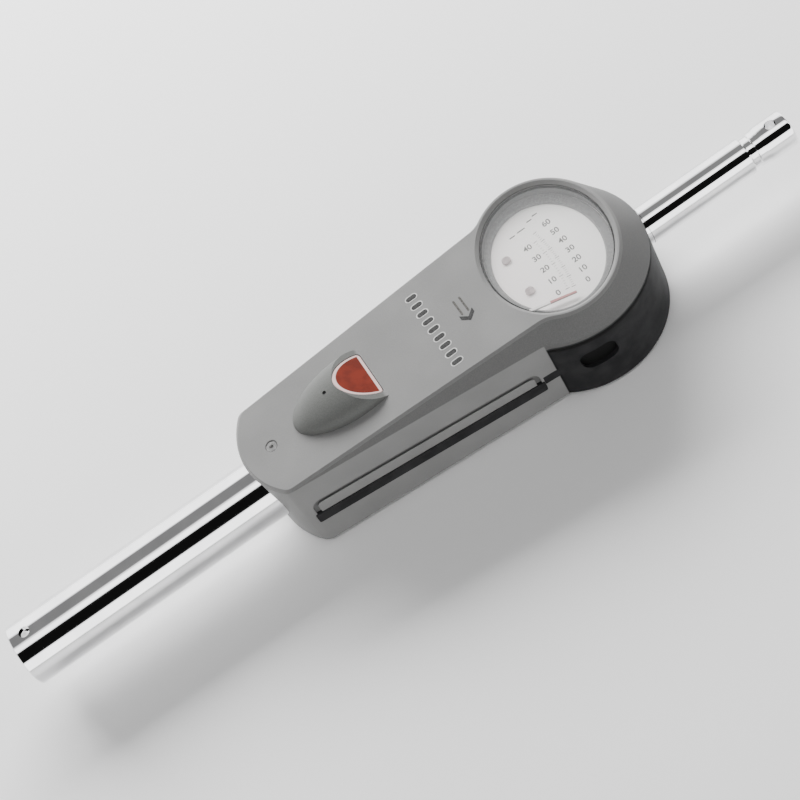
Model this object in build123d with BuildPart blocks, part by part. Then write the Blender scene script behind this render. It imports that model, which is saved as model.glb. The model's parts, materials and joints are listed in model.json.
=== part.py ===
from build123d import *
import os
from math import atan, cos, degrees, radians, sin, sqrt

# Dial-reading torque wrench. X runs along the tool's axis, from the handle's open
# end to the drive spigot; Z is up, through the dial. The origin is under the
# middle of the tool, on the plane of its flat underside. Millimetres.

# ---- driving dimensions -------------------------------------------------------
overall_length = 436.4
axis_height = 28.0              # tool axis above the flat underside

tube_radius = 16.0
tube_bore = 13.4
stub_radius = 12.9              # the yoke's stub, in a narrower stretch of the tube
stub_rear_x = -72.0
spigot_radius = 9.5
lock_hole_radius = 2.8

head_x = 90.0                   # centre of the round head
head_radius = 45.0
tail_x = -80.5                  # rearmost point of the housing
wall = 2.6
parting_height = -5.0           # where the two shells meet, from the axis

dial_rim_height = 31.2          # top of the dial rim, from the axis, at head_x
plate_slope = 0.0416            # the top plate climbs towards the head
crease_height = 16.1            # edge between side wall and raised plate
crease_slope = -0.0442

window_rx = 30.9
window_ry = 37.3
rim_rx = 34.4
rim_ry = 41.1

bumper_wall = 2.7
bumper_top = 13.2
bumper_rear_x = 62.8

pivot_x = 112.0                 # the drive bar turns here
pointer_x = -15.6               # the pointers turn here
link_radius = 116.0             # link pin from the drive bar's pivot
full_scale = 23.0               # sweep of the pointer, degrees
rest_angle = -14.8              # direction of the pointer at zero, degrees

hump_x = -19.0
hump_length = 33.0
hump_half_width = 17.0
hump_height = 9.85
button_foot_x = -7.7            # foot of the hump's sloping front face
button_run = 18.5
button_rise = 9.6

tail_end = -overall_length / 2
spigot_tip = overall_length / 2

os.makedirs("parts", exist_ok=True)


# ---- helpers ------------------------------------------------------------------
def level(height):
    """Horizontal plane at a height above the tool's axis."""
    return Plane.XY.offset(axis_height + height)


def tilted(height, slope):
    """Plane that crosses the head's centre line at a height and climbs along X."""
    angle = atan(slope)
    return Plane(
        origin=(head_x, 0, axis_height + height),
        x_dir=(cos(angle), 0, sin(angle)),
        z_dir=(-sin(angle), 0, cos(angle)),
    )


def across(x):
    """Plane square to the tool's axis, its own X along +Y and its own Y up."""
    return Plane(origin=(x, 0, axis_height), x_dir=(0, 1, 0), z_dir=(1, 0, 0))


def plate_height(x):
    """Height of the top plate above the tool's axis."""
    return dial_rim_height + plate_slope * (x - head_x)


def plan_outline(plane, reach, bow, tail_half, neck_half, rx, ry, corner, blend):
    """Face of a tapered body with a bowed tail that flows into an oval head."""
    with BuildSketch(plane) as outline:
        with BuildLine():
            ThreePointArc((-reach + bow, tail_half), (-reach, 0), (-reach + bow, -tail_half))
            Line((-reach + bow, -tail_half), (0, -neck_half))
            Line((0, -neck_half), (0, neck_half))
            Line((0, neck_half), (-reach + bow, tail_half))
        make_face()
        fillet(outline.vertices().group_by(Axis.X)[0], corner)
        with BuildLine():
            EllipticalCenterArc((0, 0), rx, ry, start_angle=-90, arc_size=180)
            EllipticalCenterArc((0, 0), rx, ry, start_angle=90, arc_size=180)
        make_face()
        necks = [v for v in outline.vertices() if -40 < v.X < -5 and abs(v.Y) > 20]
        fillet(necks, blend)
    return outline.sketch


def wall_outline(inset):
    """Plan of the housing's side walls."""
    ground = Plane(origin=(head_x, 0, 0))
    reach = head_x - tail_x
    return plan_outline(
        ground, reach - inset, 10.5, 27.3 - inset, 38.2 - inset, head_radius - inset,
        head_radius - inset, 6, 12,
    )


def plate_outline(drop, inset):
    """Plan of the raised plate with the dial rim, a little below its top."""
    plane = tilted(dial_rim_height - drop, plate_slope)
    reach = head_x - tail_x + 1.0
    return plan_outline(
        plane, reach - inset, 10.4, 27.2 - inset, 34.4 - inset, rim_rx - inset,
        rim_ry - inset, 5, 14,
    )


def housing_walls(inset, top_height):
    """The housing's straight-sided lower part, up to a plane parallel to the crease."""
    walls = wall_outline(inset)
    with BuildPart() as block:
        add(walls)
        extrude(amount=80)
        if inset == 0:
            fillet(block.faces().sort_by(Axis.Z)[0].edges(), 3.0)
        split(bisect_by=tilted(top_height, crease_slope), keep=Keep.BOTTOM)
        if inset > 0:
            split(bisect_by=Plane.XY.offset(inset), keep=Keep.TOP)
    return block.part


def housing_brow(walls, inset, edge):
    """The raised plate and dial rim, lofted up from the top of the walls."""
    rim = walls.faces().sort_by(Axis.Z)[-1]
    brow = plate_outline(inset + edge, inset)
    top = plate_outline(inset, inset + edge)
    with BuildPart() as block:
        loft(sections=[rim, brow.face(), top.face()], ruled=True)
    return block.part


def save(piece, name):
    """Label one finished piece and write it as a STEP file of the same name."""
    piece.label = name
    export_step(piece, f"parts/{name}.step")


# ---- shapes the shells share -----------------------------------------------------
outer_walls = housing_walls(0, crease_height)
outer_block = outer_walls + housing_brow(outer_walls, 0, 1.2)
inner_walls = housing_walls(wall, crease_height - 1.0)
inner_brow = housing_brow(housing_walls(wall, crease_height - 1.5), wall, 0.4)

screw_places = [(-55, 21), (-55, -21), (38, 27), (38, -27), (106, 34.5), (106, -34.5)]
boss_radius = 3.8
screw_radius = 1.5

# the zone that the rubber bumper fills, outside the shells at the head
with BuildPart() as bumper_zone:
    with BuildSketch(Plane.XY.offset(-1)):
        with Locations((head_x, 0)):
            Circle(head_radius + 3)
            Circle(head_radius - bumper_wall - 0.1, mode=Mode.SUBTRACT)
    extrude(amount=axis_height + bumper_top + 1)
    split(bisect_by=Plane(origin=(bumper_rear_x - 0.1, 0, 0), z_dir=(1, 0, 0)), keep=Keep.TOP)
bumper_zone = bumper_zone.part

# the shells' own wall behind the bumper, with webs back to the side walls
liner_radius = head_radius - bumper_wall - wall
with BuildPart() as head_liner:
    with BuildSketch(Plane.XY):
        with Locations((head_x, 0)):
            Circle(head_radius)
            Circle(liner_radius, mode=Mode.SUBTRACT)
        with Locations((bumper_rear_x - 1.5, 32.3), (bumper_rear_x - 1.5, -32.3)):
            Rectangle(2.8, 8.4)
    extrude(amount=axis_height + bumper_top + wall)
    split(bisect_by=Plane(origin=(bumper_rear_x - 2.9, 0, 0), z_dir=(1, 0, 0)), keep=Keep.TOP)
    add(outer_block, mode=Mode.INTERSECT)
head_liner = head_liner.part

# side wall planes: own X runs towards the head, own Y is up
wall_rise = (38.2 - 27.3) / (head_x - tail_x - 10.5)
wall_angle = atan(wall_rise)
wall_mid_y = 27.3 + wall_rise * (0 - tail_x - 10.5)
near_wall = Plane(
    origin=(0, -wall_mid_y, axis_height),
    x_dir=(cos(wall_angle), -sin(wall_angle), 0),
    z_dir=(-sin(wall_angle), -cos(wall_angle), 0),
)

strip_slope = -2.04             # the side strips dip towards the head, degrees
strip_mid = (-6.3, -7.6)
strip_length = 123.0
strip_height = 6.5
strip_proud = 0.8
strip_depth = 1.5
groove_depth = 1.1
groove_width = 2.6


def side_strip(clearance):
    """One rubber side strip on the near wall, let into the shells."""
    with BuildPart() as strip:
        with BuildSketch(near_wall.offset(-strip_depth - clearance)):
            with Locations(Location((strip_mid[0], strip_mid[1], 0), (0, 0, strip_slope))):
                RectangleRounded(strip_length + 2 * clearance, strip_height + 2 * clearance, 1.0)
        extrude(amount=strip_depth + strip_proud + clearance)
        if clearance == 0:
            fillet(strip.faces().sort_by(Axis.Y)[0].edges(), 0.5)
    return strip.part


# groove that frames a panel above the strip
with BuildPart() as groove:
    with BuildSketch(near_wall.offset(-groove_depth)) as frame_line:
        with BuildLine():
            Polyline((-66.5, -5.5), (-66.5, 7.6), (54, 2.4), (54, -9.5), (-66.5, -5.5))
        make_face()
        fillet(frame_line.vertices().filter_by(lambda v: v.Y > 0), 5)
        offset(amount=-groove_width, mode=Mode.SUBTRACT)
        with Locations((-6, -14)):
            Rectangle(140, 15, mode=Mode.SUBTRACT)
    extrude(amount=groove_depth + 4)
groove = groove.part
strip_pocket = side_strip(0.05)

# bumper tab that reaches back along the parting line
with BuildPart() as tab:
    with BuildSketch(near_wall.offset(-1.6)):
        with Locations((59.55, -6.4)):
            Rectangle(8.4, 5.5)
    extrude(amount=1.6)
tab = tab.part
with BuildPart() as tab_pocket:
    with BuildSketch(near_wall.offset(-1.65)):
        with Locations((59.55, -6.4)):
            Rectangle(8.5, 5.6)
    extrude(amount=4)
tab_pocket = tab_pocket.part

side_cuts = [groove, strip_pocket, tab_pocket]
side_cuts = side_cuts + [mirror(cut, about=Plane.XZ) for cut in side_cuts]

# dome of the button hump, and the sloping plane that cuts it off
slope_length = sqrt(button_run**2 + button_rise**2)
face_normal = (button_rise / slope_length, 0, button_run / slope_length)
push_direction = (-button_rise / slope_length, 0, -button_run / slope_length)
foot_height = plate_height(button_foot_x)
hump_face = Plane(
    origin=(button_foot_x, 0, axis_height + foot_height),
    x_dir=(-button_run / slope_length, 0, button_rise / slope_length),
    z_dir=face_normal,
)
with BuildPart() as dome:
    Sphere(1)
    scale(by=(hump_length, hump_half_width, hump_height))
dome_at = Location((hump_x, 0, axis_height + plate_height(hump_x)), (0, -degrees(atan(plate_slope)), 0))
with BuildPart() as hump:
    add(dome.part.moved(dome_at))
    split(bisect_by=hump_face, keep=Keep.BOTTOM)
    split(bisect_by=tilted(dial_rim_height - 1.0, plate_slope), keep=Keep.TOP)
hump = hump.part


def button_outline(depth, grow):
    """Half-oval outline of the button, on a plane below the hump's sloping face."""
    with BuildSketch(hump_face.offset(-depth)) as outline:
        with BuildLine():
            EllipticalCenterArc(
                (0.8 - grow, 0), 19.2 + 2 * grow, 13.2 + grow, start_angle=-90, arc_size=180,
            )
            Line((0.8 - grow, 13.2 + grow), (0.8 - grow, -13.2 - grow))
        make_face()
        fillet(outline.vertices(), 2.0)
    return outline.sketch


button_sink = 0.15              # the button's face below the hump's face
button_thickness = 2.25
spring_gap = 2.0
well_depth = button_sink + button_thickness + spring_gap
well_mouth = button_outline(-3, 0.15)
with BuildPart() as button_well:
    extrude(well_mouth.face(), amount=3 + well_depth, dir=push_direction)
button_well = button_well.part

# pad under the plate that closes the floor of the button well
with BuildPart() as well_pad:
    with BuildSketch(level(22.9)):
        with Locations((-13.5, 0)):
            Ellipse(12.5, 14.5)
    extrude(amount=3.5)
well_pad = well_pad.part

# ---- upper shell ------------------------------------------------------------------
rim_plane = tilted(dial_rim_height, plate_slope)
collar_foot = 23.9
lens_ledge = 3.1
with BuildPart() as window_collar:
    with BuildSketch(level(collar_foot)):
        with Locations((head_x, 0)):
            Ellipse(rim_rx + 1.0, rim_ry + 0.6)
    extrude(amount=20)
    add(outer_block, mode=Mode.INTERSECT)
window_collar = window_collar.part

# bevel round the window's mouth
with BuildPart() as window_bevel:
    with BuildSketch(rim_plane.offset(0.5)):
        Ellipse(window_rx + 2.2, window_ry + 2.4)
    with BuildSketch(rim_plane.offset(-1.3)):
        Ellipse(window_rx, window_ry)
    loft()
window_bevel = window_bevel.part

with BuildPart() as upper_shell:
    add(outer_block)
    add(inner_walls, mode=Mode.SUBTRACT)
    add(inner_brow, mode=Mode.SUBTRACT)
    add(window_collar)
    add(hump)
    add(well_pad)
    # posts for the shell screws and the tail screw
    for x, y in screw_places:
        with BuildSketch(level(parting_height)):
            with Locations((x, y)):
                Circle(boss_radius)
        extrude(amount=min(plate_height(x) - 1.0, 22.5) - parting_height)
    add(head_liner)
    with BuildSketch(level(16.6)):
        with Locations((-65.7, 0)):
            Circle(4.2)
    extrude(amount=6)
    # saddles that hold the handle tube
    with BuildSketch(across(-47)):
        Rectangle(54, 2 * 21)
        Circle(tube_radius + 0.05, mode=Mode.SUBTRACT)
    extrude(amount=3)
    split(bisect_by=level(parting_height), keep=Keep.TOP)
    # dial window: a ledge for the lens, then straight down
    with BuildSketch(rim_plane.offset(2)):
        Ellipse(window_rx, window_ry)
    extrude(amount=-2 - lens_ledge)
    with BuildSketch(rim_plane.offset(-lens_ledge)):
        Ellipse(window_rx - 0.9, window_ry - 0.9)
    extrude(amount=-14, mode=Mode.SUBTRACT)
    with BuildSketch(rim_plane.offset(2)):
        Ellipse(window_rx, window_ry)
    extrude(amount=-2 - lens_ledge, mode=Mode.SUBTRACT)
    # seat of the dial plate under the collar
    with BuildSketch(level(21)):
        with Locations((head_x, 0)):
            Ellipse(rim_rx - 1.9, rim_ry - 2.4)
    extrude(amount=collar_foot - 21, mode=Mode.SUBTRACT)
    add(window_bevel, mode=Mode.SUBTRACT)
    # slot for the sweeping pointers behind the window
    with BuildSketch(level(collar_foot - 1)):
        with Locations((60.5, -4)):
            Rectangle(20, 44)
    extrude(amount=4.2, mode=Mode.SUBTRACT)
    add(bumper_zone, mode=Mode.SUBTRACT)
    add(side_cuts, mode=Mode.SUBTRACT)
    # tube at the tail, bar at the head
    with BuildSketch(across(tail_x - 5)):
        Circle(tube_radius + 0.05)
    extrude(amount=20, mode=Mode.SUBTRACT)
    with BuildSketch(across(head_x + 30)):
        Circle(13.2)
    extrude(amount=20, mode=Mode.SUBTRACT)
    # pilot holes for the shell screws
    with BuildSketch(level(parting_height - 1)):
        with Locations(*screw_places):
            Circle(screw_radius + 0.02)
    extrude(amount=9, mode=Mode.SUBTRACT)
    # countersunk hole for the tail screw
    with Locations((-65.7, 0, axis_height + plate_height(-65.7))):
        CounterSinkHole(radius=1.6, counter_sink_radius=3.2, depth=12, counter_sink_angle=90)
    # button well, stem hole and retaining pin hole
    add(button_well, mode=Mode.SUBTRACT)
    with BuildSketch(hump_face):
        with Locations((9.5, 0)):
            Circle(2.3)
    extrude(amount=-20, mode=Mode.SUBTRACT)
    with BuildSketch(level(plate_height(-31.4) + 4)):
        with Locations((-31.4, 0)):
            Circle(0.95)
    extrude(amount=10, mode=Mode.SUBTRACT)
save(upper_shell.part, "upper_shell")

# ---- lower shell ------------------------------------------------------------------
with BuildPart() as lower_shell:
    add(outer_block)
    add(inner_walls, mode=Mode.SUBTRACT)
    with BuildSketch(Plane.XY.offset(1)):
        with Locations(*screw_places):
            Circle(boss_radius)
    extrude(amount=axis_height)
    add(head_liner)
    with BuildSketch(across(-47)):
        Rectangle(54, 2 * 27)
        Circle(tube_radius + 0.05, mode=Mode.SUBTRACT)
    extrude(amount=3)
    split(bisect_by=level(parting_height), keep=Keep.BOTTOM)
    add(bumper_zone, mode=Mode.SUBTRACT)
    add(side_cuts, mode=Mode.SUBTRACT)
    with BuildSketch(across(tail_x - 5)):
        Circle(tube_radius + 0.05)
    extrude(amount=20, mode=Mode.SUBTRACT)
    with BuildSketch(across(head_x + 30)):
        Circle(13.2)
    extrude(amount=20, mode=Mode.SUBTRACT)
    with Locations(*[Location((x, y, 0), (180, 0, 0)) for x, y in screw_places]):
        CounterSinkHole(radius=screw_radius + 0.1, counter_sink_radius=3.1, depth=30, counter_sink_angle=90)
save(lower_shell.part, "lower_shell")

# ---- rubber bumper round the head, and the side strips ----------------------------
# blind finger dimples, one each side, of even depth below the round wall
with BuildPart() as dimples:
    for side in (-1, 1):
        dimple = Plane(
            origin=(82.5, side * (head_radius + 2), axis_height - 2.6),
            x_dir=(1, 0, 0), z_dir=(0, side, 0),
        )
        with BuildSketch(dimple):
            with Locations(Location((0, 0, 0), (0, 0, -side * 6))):
                RectangleRounded(18.5, 12.5, 5.0)
        extrude(amount=-12)
    with BuildSketch(Plane.XY):
        with Locations((head_x, 0)):
            Circle(head_radius - 1.9)
    extrude(amount=2 * axis_height, mode=Mode.SUBTRACT)
dimples = dimples.part

with BuildPart() as head_bumper:
    with BuildSketch(Plane.XY):
        with Locations((head_x, 0)):
            Circle(head_radius)
            Circle(head_radius - bumper_wall, mode=Mode.SUBTRACT)
    extrude(amount=axis_height + bumper_top - 0.5)
    split(bisect_by=Plane(origin=(bumper_rear_x, 0, 0), z_dir=(1, 0, 0)), keep=Keep.TOP)
    underside = head_bumper.faces().sort_by(Axis.Z)[0].edges().filter_by(GeomType.CIRCLE)
    fillet(underside.sort_by(SortBy.RADIUS)[-1], 2.2)
    rim_edge = head_bumper.faces().sort_by(Axis.Z)[-1].edges().filter_by(GeomType.CIRCLE)
    fillet(rim_edge.sort_by(SortBy.RADIUS)[-1], 0.9)
    add(tab)
    add(mirror(tab, about=Plane.XZ))
    # passage for the drive bar, with room for its swing
    with BuildSketch(across(head_x + 30)):
        Circle(11.2)
    extrude(amount=20, mode=Mode.SUBTRACT)
    add(dimples, mode=Mode.SUBTRACT)
save(head_bumper.part, "head_bumper")

near_strip = side_strip(0)
save(near_strip, "side_strip_right")
save(mirror(near_strip, about=Plane.XZ), "side_strip_left")

# ---- handle tube ------------------------------------------------------------------
tube_front = -42.0
tube_hole_x = tail_end + 8.5
yoke_pin_places = [-62.0, -50.0]
with BuildPart() as handle_tube:
    with BuildSketch(across(tail_end)):
        Circle(tube_radius)
        Circle(stub_radius, mode=Mode.SUBTRACT)
    extrude(amount=tube_front - tail_end)
    with BuildSketch(across(tail_end)):
        Circle(tube_bore)
    extrude(amount=stub_rear_x - tail_end, mode=Mode.SUBTRACT)
    chamfer(handle_tube.faces().sort_by(Axis.X)[0].edges(), 0.5)
    with BuildSketch(Plane.XY):
        with Locations((tube_hole_x, 0)):
            Circle(lock_hole_radius)
    extrude(amount=2 * axis_height, mode=Mode.SUBTRACT)
    with BuildSketch(level(0)):
        with Locations((-65.7, 0)):
            Circle(screw_radius + 0.02)
    extrude(amount=20, mode=Mode.SUBTRACT)
    with BuildSketch(Plane.XZ.offset(-20)):
        with Locations(*[(x, axis_height) for x in yoke_pin_places]):
            Circle(2.0)
    extrude(amount=40, mode=Mode.SUBTRACT)
save(handle_tube.part, "handle_tube")

# ---- steel yoke inside the housing: stub, block and two cheeks ----------------------
cheek_top = 16.0
cheek_gap = 11.0
blade_half = 2.0
stop_places = [(40, 12.95), (40, -10.05)]
pillar_places = [(72.5, 11), (72.5, -11)]
bridge_places = [(-30, 12), (-30, -12)]
with BuildPart() as yoke:
    with BuildSketch(across(stub_rear_x)):
        Circle(stub_radius)
    extrude(amount=tube_front - stub_rear_x)
    with BuildSketch(across(tube_front)):
        Rectangle(40, 2 * cheek_top)
    extrude(amount=18)
    with BuildSketch(level(-cheek_top)) as cheek:
        with BuildLine():
            Polyline((-24, -17), (60, -20), (122, -20), (122, 20), (60, 20), (-24, 17), (-24, -17))
        make_face()
        fillet(cheek.vertices().group_by(Axis.X)[-1], 9)
    extrude(amount=2 * cheek_top)
    with BuildSketch(level(-cheek_gap)):
        with Locations((54, 0)):
            Rectangle(156, 60)
    extrude(amount=2 * cheek_gap, mode=Mode.SUBTRACT)
    # slot that clamps the measuring blade
    with BuildSketch(level(-9.02)):
        with Locations((-33, 0)):
            Rectangle(18.1, 2 * blade_half)
    extrude(amount=18.04, mode=Mode.SUBTRACT)
    # window in the upper cheek for the link pin
    with BuildSketch(level(cheek_gap - 1)):
        with Locations((10.5, 0)):
            RectangleRounded(40, 24, 3)
    extrude(amount=10, mode=Mode.SUBTRACT)
    # bores: main pivot, pointer staff, stops, dial pillars, bridge posts, pins, screw
    with BuildSketch(level(-20)):
        with Locations((pivot_x, 0)):
            Circle(5.0)
        with Locations(*stop_places):
            Circle(2.0)
    extrude(amount=40, mode=Mode.SUBTRACT)
    with BuildSketch(level(cheek_gap)):
        with Locations((pointer_x, 0)):
            Circle(1.55)
        with Locations(*(pillar_places + bridge_places)):
            Circle(1.5)
    extrude(amount=10, mode=Mode.SUBTRACT)
    with BuildSketch(Plane.XZ.offset(-30)):
        with Locations(*[(x, axis_height) for x in yoke_pin_places]):
            Circle(2.0)
    extrude(amount=60, mode=Mode.SUBTRACT)
    with BuildSketch(level(2)):
        with Locations((-65.7, 0)):
            Circle(screw_radius + 0.02)
    extrude(amount=20, mode=Mode.SUBTRACT)
    with BuildSketch(Plane.XZ.offset(-30)):
        with Locations((-33, axis_height + 5), (-33, axis_height - 5)):
            Circle(1.5)
    extrude(amount=60, mode=Mode.SUBTRACT)
save(yoke.part, "yoke")

with BuildPart() as yoke_pins:
    with BuildSketch(Plane.XZ.offset(-tube_radius + 0.3)):
        with Locations(*[(x, axis_height) for x in yoke_pin_places]):
            Circle(2.0)
    extrude(amount=2 * (tube_radius - 0.3))
save(yoke_pins.part, "yoke_pins")

with BuildPart() as blade_screws:
    with BuildSketch(Plane.XZ.offset(-20)):
        with Locations((-33, axis_height + 5), (-33, axis_height - 5)):
            Circle(1.5)
    extrude(amount=40)
    for side in (-1, 1):
        with BuildSketch(Plane.XZ.offset(side * 20)):
            with Locations((-33, axis_height + 5), (-33, axis_height - 5)):
                RegularPolygon(3.0, 6)
        extrude(amount=side * 2.2)
save(blade_screws.part, "blade_screws")

with BuildPart() as measuring_blade:
    with BuildSketch(level(-9)):
        with Locations((-17.5, 0)):
            Rectangle(49, 2 * blade_half)
    extrude(amount=18)
    fillet(measuring_blade.edges().filter_by(Axis.Z).group_by(Axis.X)[-1], 1.5)
    with BuildSketch(Plane.XZ.offset(-5)):
        with Locations((-33, axis_height + 5), (-33, axis_height - 5)):
            Circle(1.5)
    extrude(amount=10, mode=Mode.SUBTRACT)
save(measuring_blade.part, "measuring_blade")

# ---- pivot pin, rings, washers, stops ---------------------------------------------
pin_half = 18.0
with BuildPart() as main_pivot_pin:
    with BuildSketch(level(-pin_half)):
        with Locations((pivot_x, 0)):
            Circle(5.0)
    extrude(amount=2 * pin_half)
    chamfer(main_pivot_pin.edges().filter_by(GeomType.CIRCLE), 0.5)
    for height in (-17.2, 16.1):
        with BuildSketch(level(height)):
            with Locations((pivot_x, 0)):
                Circle(6.0)
                Circle(4.6, mode=Mode.SUBTRACT)
        extrude(amount=1.1, mode=Mode.SUBTRACT)
save(main_pivot_pin.part, "main_pivot_pin")

with BuildPart() as retaining_rings:
    for height in (-17.2, 16.1):
        with BuildSketch(level(height)):
            with Locations((pivot_x, 0)):
                Circle(7.2)
                Circle(4.65, mode=Mode.SUBTRACT)
            with Locations((pivot_x + 6, 0)):
                Rectangle(5, 3.2, mode=Mode.SUBTRACT)
        extrude(amount=1.1)
save(retaining_rings.part, "retaining_rings")

with BuildPart() as thrust_washers:
    for height in (-cheek_gap, spigot_radius + 0.1):
        with BuildSketch(level(height)):
            with Locations((pivot_x, 0)):
                Circle(11)
                Circle(5.05, mode=Mode.SUBTRACT)
        extrude(amount=cheek_gap - spigot_radius - 0.1)
save(thrust_washers.part, "thrust_washers")

with BuildPart() as stop_pins:
    with BuildSketch(level(-15.5)):
        with Locations(*stop_places):
            Circle(2.0)
    extrude(amount=31)
save(stop_pins.part, "stop_pins")

with BuildPart() as bar_seal:
    with BuildSketch(across(127.8)):
        Circle(13.15)
        Circle(10.6, mode=Mode.SUBTRACT)
    extrude(amount=2.0)
save(bar_seal.part, "bar_seal")

# ---- drive bar: spigot, body and lever in one forging --------------------------------
neck_x = spigot_tip - 23.6
with BuildPart() as drive_bar:
    with BuildSketch(Plane(origin=(0, 0, axis_height), x_dir=(1, 0, 0), z_dir=(0, -1, 0))) as turned:
        with BuildLine():
            Polyline(
                (118, 0), (118, spigot_radius - 0.2), (136, spigot_radius - 0.2),
                (136.2, spigot_radius), (neck_x - 0.8, spigot_radius),
                (neck_x, spigot_radius - 0.8), (neck_x + 0.3, 8.0), (neck_x + 3.6, 8.0),
                (neck_x + 4.0, 8.7), (neck_x + 6.2, 8.8),
            )
            Spline(
                (neck_x + 6.2, 8.8), (neck_x + 7.6, 9.1), (neck_x + 9.2, spigot_radius),
                tangents=[(1, 0), (1, 0)],
            )
            Line((neck_x + 9.2, spigot_radius), (spigot_tip - 1.4, spigot_radius))
            ThreePointArc(
                (spigot_tip - 1.4, spigot_radius), (spigot_tip - 0.41, spigot_radius - 0.41),
                (spigot_tip, spigot_radius - 1.4),
            )
            Polyline((spigot_tip, spigot_radius - 1.4), (spigot_tip, 0), (118, 0))
        make_face()
    revolve(axis=Axis((0, 0, axis_height), (1, 0, 0)))
    with BuildSketch(level(-spigot_radius)) as bar_plan:
        with BuildLine():
            Polyline(
                (4, -8), (92, -8), (100, -13), (124, -13),
                (124, 13), (100, 13), (92, 8), (4, 8), (4, -8),
            )
        make_face()
        fillet(bar_plan.vertices().group_by(Axis.X)[-1], 5)
    extrude(amount=2 * spigot_radius)
    with BuildSketch(level(-20)):
        with Locations((spigot_tip - 8.1, 0)):
            Circle(lock_hole_radius)
        with Locations((pivot_x, 0)):
            Circle(6.5)
    extrude(amount=40, mode=Mode.SUBTRACT)
    # relief that clears the measuring blade, open at the rear
    with BuildSketch(level(-20)):
        with Locations((4, 0)):
            Rectangle(8, 2 * blade_half + 0.04)
    extrude(amount=40, mode=Mode.SUBTRACT)
    with BuildSketch(level(0)):
        with Locations((13, 0), (21, 0)):
            Circle(1.25)
    extrude(amount=12, mode=Mode.SUBTRACT)
save(drive_bar.part, "drive_bar")

with BuildPart() as pivot_bush:
    with BuildSketch(level(-spigot_radius)):
        with Locations((pivot_x, 0)):
            Circle(6.5)
            Circle(5.03, mode=Mode.SUBTRACT)
    extrude(amount=2 * spigot_radius)
save(pivot_bush.part, "pivot_bush")

# ---- link plate and pin that carry the bar's swing to the pointer --------------------
link_pin_angle = radians(full_scale / 2)
link_x = pointer_x + (pivot_x - pointer_x - link_radius) * cos(link_pin_angle)
link_y = -(pivot_x - pointer_x - link_radius) * sin(link_pin_angle)
with BuildPart() as link_plate:
    with BuildSketch(level(spigot_radius)) as plate_plan:
        with Locations((11.4, -1)):
            Rectangle(37, 9)
        fillet(plate_plan.vertices(), 2.5)
        with Locations((link_x, link_y)):
            Circle(1.5, mode=Mode.SUBTRACT)
        with Locations((13, 0), (21, 0)):
            Circle(1.5, mode=Mode.SUBTRACT)
    extrude(amount=2)
save(link_plate.part, "link_plate")

with BuildPart() as link_pin:
    with BuildSketch(level(spigot_radius)):
        with Locations((link_x, link_y)):
            Circle(1.5)
    extrude(amount=8.4)
    fillet(link_pin.faces().sort_by(Axis.Z)[-1].edges(), 0.5)
save(link_pin.part, "link_pin")

with BuildPart() as link_screws:
    with BuildSketch(level(3)):
        with Locations((13, 0), (21, 0)):
            Circle(1.25)
    extrude(amount=10)
    with BuildSketch(level(spigot_radius + 2)):
        with Locations((13, 0), (21, 0)):
            Circle(2.4)
    extrude(amount=1.6)
    with BuildSketch(level(spigot_radius + 3.6)):
        with Locations((13, 0), (21, 0)):
            Rectangle(0.6, 6)
    extrude(amount=-0.7, mode=Mode.SUBTRACT)
save(link_screws.part, "link_screws")

# ---- pointers -----------------------------------------------------------------------
staff_radius = 1.5
fork_height = 17.0
fork_reach = 15.2
pointer_level = 25.5
marker_level = 26.1


def pointer_arm(step_at, arm_level, dial_level, reach, half_width):
    """Cranked arm along X from the pointer pivot: low at the hub, high over the dial."""
    with BuildPart() as arm:
        with BuildSketch(Plane(origin=(pointer_x, 0, axis_height), x_dir=(1, 0, 0), z_dir=(0, -1, 0))):
            with BuildLine():
                Polyline(
                    (3, arm_level), (step_at, arm_level), (step_at, dial_level),
                    (reach, dial_level), (reach, dial_level + 0.3),
                    (step_at - 0.5, dial_level + 0.3), (step_at - 0.5, arm_level + 0.5),
                    (3, arm_level + 0.5), (3, arm_level),
                )
            make_face()
        extrude(amount=half_width, both=True)
        # the arm narrows to a fine tip
        with BuildSketch(level(15)):
            with BuildLine():
                Polyline(
                    (pointer_x + 3, -half_width), (pointer_x + reach, -0.45),
                    (pointer_x + reach, 0.45), (pointer_x + 3, half_width),
                    (pointer_x + 3, -half_width),
                )
            make_face()
        extrude(amount=14, mode=Mode.INTERSECT)
    return arm.part


rest_turn = Location((0, 0, 0), (0, 0, rest_angle))
at_rest = Location((pointer_x, 0, 0)) * rest_turn * Location((-pointer_x, 0, 0))
staff_axis = Axis((pointer_x, 0, 0), (0, 0, 1))

with BuildPart() as pointer:
    add(pointer_arm(66, 18.2, pointer_level, 108.0, 1.6).moved(at_rest))
    with BuildSketch(level(fork_height)):
        with Locations((pointer_x, 0)):
            Circle(4.2)
    extrude(amount=1.9)
    # fork that straddles the link pin
    fork_turn = Location((pointer_x, 0, axis_height + fork_height), (0, 0, -full_scale / 2))
    with BuildSketch(Plane(fork_turn)):
        with Locations((fork_reach / 2, 0)):
            Rectangle(fork_reach, 7.0)
        with Locations((fork_reach / 2 + 4, 0)):
            Rectangle(fork_reach, 2 * (staff_radius + 0.32), mode=Mode.SUBTRACT)
    extrude(amount=1.0)
    with BuildSketch(level(fork_height - 1)):
        with Locations((pointer_x, 0)):
            Circle(staff_radius)
    extrude(amount=4, mode=Mode.SUBTRACT)
save(pointer.part, "pointer")

with BuildPart() as pointer_staff:
    with BuildSketch(level(cheek_gap + 0.3)):
        with Locations((pointer_x, 0)):
            Circle(staff_radius)
    extrude(amount=10.6)
save(pointer_staff.part, "pointer_staff")

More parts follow.
